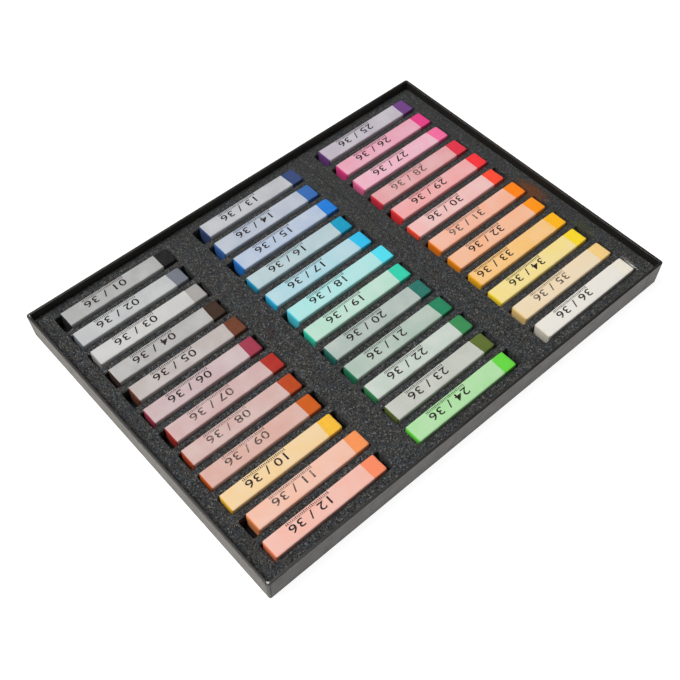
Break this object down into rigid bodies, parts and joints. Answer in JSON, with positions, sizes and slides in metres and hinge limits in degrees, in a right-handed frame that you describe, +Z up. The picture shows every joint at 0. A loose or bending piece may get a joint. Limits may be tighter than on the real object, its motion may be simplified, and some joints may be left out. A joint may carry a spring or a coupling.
{
  "type": "pastel tray",
  "caption": "Open paper-covered board tray with slotted charcoal foam that holds three columns of square, paper-wrapped soft pastels, each of which lifts out of its slot.",
  "frame": {"origin": "underside of the tray, below the centre of its outline", "axes": "+Z up out of the open tray, +X along the pastels towards their bare ends, +Y from the front wall to the back wall"},
  "size_m": [0.2618, 0.1906, 0.0154],
  "materials": {
    "black_cover_paper": "matt, slightly fibrous black cover paper, worn pale at the corners",
    "black_lining_paper": "matt black lining paper",
    "grey_board": "uncoated grey board, hidden under the paper",
    "charcoal_foam": "open-celled charcoal foam with fine speckles",
    "pastel_01": "chalky charcoal black pastel in a pale paper wrapper of the same tint",
    "pastel_02": "chalky slate grey pastel in a pale paper wrapper of the same tint",
    "pastel_03": "chalky warm grey pastel in a pale paper wrapper of the same tint",
    "pastel_04": "chalky dark brown pastel in a pale paper wrapper of the same tint",
    "pastel_05": "chalky sienna pastel in a pale paper wrapper of the same tint",
    "pastel_06": "chalky crimson pastel in a pale paper wrapper of the same tint",
    "pastel_07": "chalky red pastel in a pale paper wrapper of the same tint",
    "pastel_08": "chalky burnt orange pastel in a pale paper wrapper of the same tint",
    "pastel_09": "chalky orange pastel in a pale paper wrapper of the same tint",
    "pastel_10": "chalky amber pastel in a pale paper wrapper of the same tint",
    "pastel_11": "chalky light orange pastel in a pale paper wrapper of the same tint",
    "pastel_12": "chalky coral pastel in a pale paper wrapper of the same tint",
    "pastel_13": "chalky navy blue pastel in a pale paper wrapper of the same tint",
    "pastel_14": "chalky ultramarine pastel in a pale paper wrapper of the same tint",
    "pastel_15": "chalky azure pastel in a pale paper wrapper of the same tint",
    "pastel_16": "chalky teal cyan pastel in a pale paper wrapper of the same tint",
    "pastel_17": "chalky sky cyan pastel in a pale paper wrapper of the same tint",
    "pastel_18": "chalky light cyan pastel in a pale paper wrapper of the same tint",
    "pastel_19": "chalky mint pastel in a pale paper wrapper of the same tint",
    "pastel_20": "chalky dark teal pastel in a pale paper wrapper of the same tint",
    "pastel_21": "chalky viridian pastel in a pale paper wrapper of the same tint",
    "pastel_22": "chalky medium green pastel in a pale paper wrapper of the same tint",
    "pastel_23": "chalky olive pastel in a pale paper wrapper of the same tint",
    "pastel_24": "chalky lime pastel in a pale paper wrapper of the same tint",
    "pastel_25": "chalky purple pastel in a pale paper wrapper of the same tint",
    "pastel_26": "chalky magenta pink pastel in a pale paper wrapper of the same tint",
    "pastel_27": "chalky pink pastel in a pale paper wrapper of the same tint",
    "pastel_28": "chalky crimson red pastel in a pale paper wrapper of the same tint",
    "pastel_29": "chalky bright red pastel in a pale paper wrapper of the same tint",
    "pastel_30": "chalky vermilion pastel in a pale paper wrapper of the same tint",
    "pastel_31": "chalky orange pastel in a pale paper wrapper of the same tint",
    "pastel_32": "chalky orange yellow pastel in a pale paper wrapper of the same tint",
    "pastel_33": "chalky golden yellow pastel in a pale paper wrapper of the same tint",
    "pastel_34": "chalky yellow pastel in a pale paper wrapper of the same tint",
    "pastel_35": "chalky cream pastel in a pale paper wrapper of the same tint",
    "pastel_36": "chalky white pastel in a pale paper wrapper of the same tint"
  },
  "bodies": {
    "tray": {"cover_base_sheet": "black_cover_paper", "floor_board": "grey_board", "lining_sheet": "black_lining_paper", "wall_board_back": "grey_board", "wall_board_front": "grey_board", "wall_board_left": "grey_board", "wall_board_right": "grey_board", "cover_wall_strip": "black_cover_paper", "foam_panel_wide": "charcoal_foam", "foam_panel_narrow": "charcoal_foam"},
    "pastel_01": {"pastel_01": "pastel_01"},
    "pastel_02": {"pastel_02": "pastel_02"},
    "pastel_03": {"pastel_03": "pastel_03"},
    "pastel_04": {"pastel_04": "pastel_04"},
    "pastel_05": {"pastel_05": "pastel_05"},
    "pastel_06": {"pastel_06": "pastel_06"},
    "pastel_07": {"pastel_07": "pastel_07"},
    "pastel_08": {"pastel_08": "pastel_08"},
    "pastel_09": {"pastel_09": "pastel_09"},
    "pastel_10": {"pastel_10": "pastel_10"},
    "pastel_11": {"pastel_11": "pastel_11"},
    "pastel_12": {"pastel_12": "pastel_12"},
    "pastel_13": {"pastel_13": "pastel_13"},
    "pastel_14": {"pastel_14": "pastel_14"},
    "pastel_15": {"pastel_15": "pastel_15"},
    "pastel_16": {"pastel_16": "pastel_16"},
    "pastel_17": {"pastel_17": "pastel_17"},
    "pastel_18": {"pastel_18": "pastel_18"},
    "pastel_19": {"pastel_19": "pastel_19"},
    "pastel_20": {"pastel_20": "pastel_20"},
    "pastel_21": {"pastel_21": "pastel_21"},
    "pastel_22": {"pastel_22": "pastel_22"},
    "pastel_23": {"pastel_23": "pastel_23"},
    "pastel_24": {"pastel_24": "pastel_24"},
    "pastel_25": {"pastel_25": "pastel_25"},
    "pastel_26": {"pastel_26": "pastel_26"},
    "pastel_27": {"pastel_27": "pastel_27"},
    "pastel_28": {"pastel_28": "pastel_28"},
    "pastel_29": {"pastel_29": "pastel_29"},
    "pastel_30": {"pastel_30": "pastel_30"},
    "pastel_31": {"pastel_31": "pastel_31"},
    "pastel_32": {"pastel_32": "pastel_32"},
    "pastel_33": {"pastel_33": "pastel_33"},
    "pastel_34": {"pastel_34": "pastel_34"},
    "pastel_35": {"pastel_35": "pastel_35"},
    "pastel_36": {"pastel_36": "pastel_36"}
  },
  "joints": [
    {"name": "pastel_01_lift", "type": "slide", "parent": "tray", "child": "pastel_01", "axis": [0, 0, 1], "range_m": [0, 0.025]},
    {"name": "pastel_02_lift", "type": "slide", "parent": "tray", "child": "pastel_02", "axis": [0, 0, 1], "range_m": [0, 0.025]},
    {"name": "pastel_03_lift", "type": "slide", "parent": "tray", "child": "pastel_03", "axis": [0, 0, 1], "range_m": [0, 0.025]},
    {"name": "pastel_04_lift", "type": "slide", "parent": "tray", "child": "pastel_04", "axis": [0, 0, 1], "range_m": [0, 0.025]},
    {"name": "pastel_05_lift", "type": "slide", "parent": "tray", "child": "pastel_05", "axis": [0, 0, 1], "range_m": [0, 0.025]},
    {"name": "pastel_06_lift", "type": "slide", "parent": "tray", "child": "pastel_06", "axis": [0, 0, 1], "range_m": [0, 0.025]},
    {"name": "pastel_07_lift", "type": "slide", "parent": "tray", "child": "pastel_07", "axis": [0, 0, 1], "range_m": [0, 0.025]},
    {"name": "pastel_08_lift", "type": "slide", "parent": "tray", "child": "pastel_08", "axis": [0, 0, 1], "range_m": [0, 0.025]},
    {"name": "pastel_09_lift", "type": "slide", "parent": "tray", "child": "pastel_09", "axis": [0, 0, 1], "range_m": [0, 0.025]},
    {"name": "pastel_10_lift", "type": "slide", "parent": "tray", "child": "pastel_10", "axis": [0, 0, 1], "range_m": [0, 0.025]},
    {"name": "pastel_11_lift", "type": "slide", "parent": "tray", "child": "pastel_11", "axis": [0, 0, 1], "range_m": [0, 0.025]},
    {"name": "pastel_12_lift", "type": "slide", "parent": "tray", "child": "pastel_12", "axis": [0, 0, 1], "range_m": [0, 0.025]},
    {"name": "pastel_13_lift", "type": "slide", "parent": "tray", "child": "pastel_13", "axis": [0, 0, 1], "range_m": [0, 0.025]},
    {"name": "pastel_14_lift", "type": "slide", "parent": "tray", "child": "pastel_14", "axis": [0, 0, 1], "range_m": [0, 0.025]},
    {"name": "pastel_15_lift", "type": "slide", "parent": "tray", "child": "pastel_15", "axis": [0, 0, 1], "range_m": [0, 0.025]},
    {"name": "pastel_16_lift", "type": "slide", "parent": "tray", "child": "pastel_16", "axis": [0, 0, 1], "range_m": [0, 0.025]},
    {"name": "pastel_17_lift", "type": "slide", "parent": "tray", "child": "pastel_17", "axis": [0, 0, 1], "range_m": [0, 0.025]},
    {"name": "pastel_18_lift", "type": "slide", "parent": "tray", "child": "pastel_18", "axis": [0, 0, 1], "range_m": [0, 0.025]},
    {"name": "pastel_19_lift", "type": "slide", "parent": "tray", "child": "pastel_19", "axis": [0, 0, 1], "range_m": [0, 0.025]},
    {"name": "pastel_20_lift", "type": "slide", "parent": "tray", "child": "pastel_20", "axis": [0, 0, 1], "range_m": [0, 0.025]},
    {"name": "pastel_21_lift", "type": "slide", "parent": "tray", "child": "pastel_21", "axis": [0, 0, 1], "range_m": [0, 0.025]},
    {"name": "pastel_22_lift", "type": "slide", "parent": "tray", "child": "pastel_22", "axis": [0, 0, 1], "range_m": [0, 0.025]},
    {"name": "pastel_23_lift", "type": "slide", "parent": "tray", "child": "pastel_23", "axis": [0, 0, 1], "range_m": [0, 0.025]},
    {"name": "pastel_24_lift", "type": "slide", "parent": "tray", "child": "pastel_24", "axis": [0, 0, 1], "range_m": [0, 0.025]},
    {"name": "pastel_25_lift", "type": "slide", "parent": "tray", "child": "pastel_25", "axis": [0, 0, 1], "range_m": [0, 0.025]},
    {"name": "pastel_26_lift", "type": "slide", "parent": "tray", "child": "pastel_26", "axis": [0, 0, 1], "range_m": [0, 0.025]},
    {"name": "pastel_27_lift", "type": "slide", "parent": "tray", "child": "pastel_27", "axis": [0, 0, 1], "range_m": [0, 0.025]},
    {"name": "pastel_28_lift", "type": "slide", "parent": "tray", "child": "pastel_28", "axis": [0, 0, 1], "range_m": [0, 0.025]},
    {"name": "pastel_29_lift", "type": "slide", "parent": "tray", "child": "pastel_29", "axis": [0, 0, 1], "range_m": [0, 0.025]},
    {"name": "pastel_30_lift", "type": "slide", "parent": "tray", "child": "pastel_30", "axis": [0, 0, 1], "range_m": [0, 0.025]},
    {"name": "pastel_31_lift", "type": "slide", "parent": "tray", "child": "pastel_31", "axis": [0, 0, 1], "range_m": [0, 0.025]},
    {"name": "pastel_32_lift", "type": "slide", "parent": "tray", "child": "pastel_32", "axis": [0, 0, 1], "range_m": [0, 0.025]},
    {"name": "pastel_33_lift", "type": "slide", "parent": "tray", "child": "pastel_33", "axis": [0, 0, 1], "range_m": [0, 0.025]},
    {"name": "pastel_34_lift", "type": "slide", "parent": "tray", "child": "pastel_34", "axis": [0, 0, 1], "range_m": [0, 0.025]},
    {"name": "pastel_35_lift", "type": "slide", "parent": "tray", "child": "pastel_35", "axis": [0, 0, 1], "range_m": [0, 0.025]},
    {"name": "pastel_36_lift", "type": "slide", "parent": "tray", "child": "pastel_36", "axis": [0, 0, 1], "range_m": [0, 0.025]}
  ]
}
